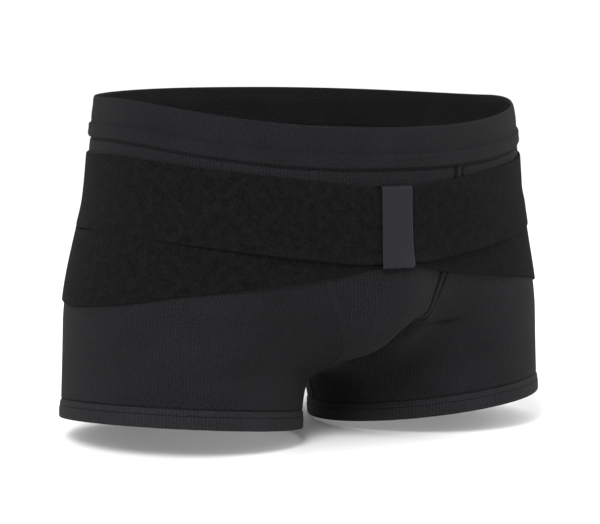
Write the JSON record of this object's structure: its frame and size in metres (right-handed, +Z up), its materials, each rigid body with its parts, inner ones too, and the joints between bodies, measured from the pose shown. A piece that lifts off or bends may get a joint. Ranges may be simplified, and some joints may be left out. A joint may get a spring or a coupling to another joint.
{
  "type": "hernia support shorts with a crossed hip belt",
  "caption": "Close-fitting knitted trunks, shaped as worn, with a front pouch and wide elastic straps that wrap the hips and meet under an upright loop to press on the groin.",
  "frame": {"origin": "middle of the waist opening, level with the mean height of the waistband's top edge at the front and the back", "axes": "+Z up, -Y to the front of the wearer, +X to the wearer's left"},
  "size_m": [0.3648, 0.2497, 0.2421],
  "materials": {
    "black_knit": "matte",
    "black_band": "matte",
    "black_pile": "matte",
    "grey_webbing": "matte"
  },
  "bodies": {
    "root": {"waistband": "black_band", "front_pouch": "black_knit", "crotch_gusset": "black_knit", "left_leg_panel": "black_knit", "left_leg_hem": "black_knit", "left_lower_strap": "black_pile", "left_upper_strap": "black_pile", "right_leg_panel": "black_knit", "right_leg_hem": "black_knit", "right_lower_strap": "black_pile", "right_upper_strap": "black_pile", "front_loop": "grey_webbing"}
  },
  "joints": []
}
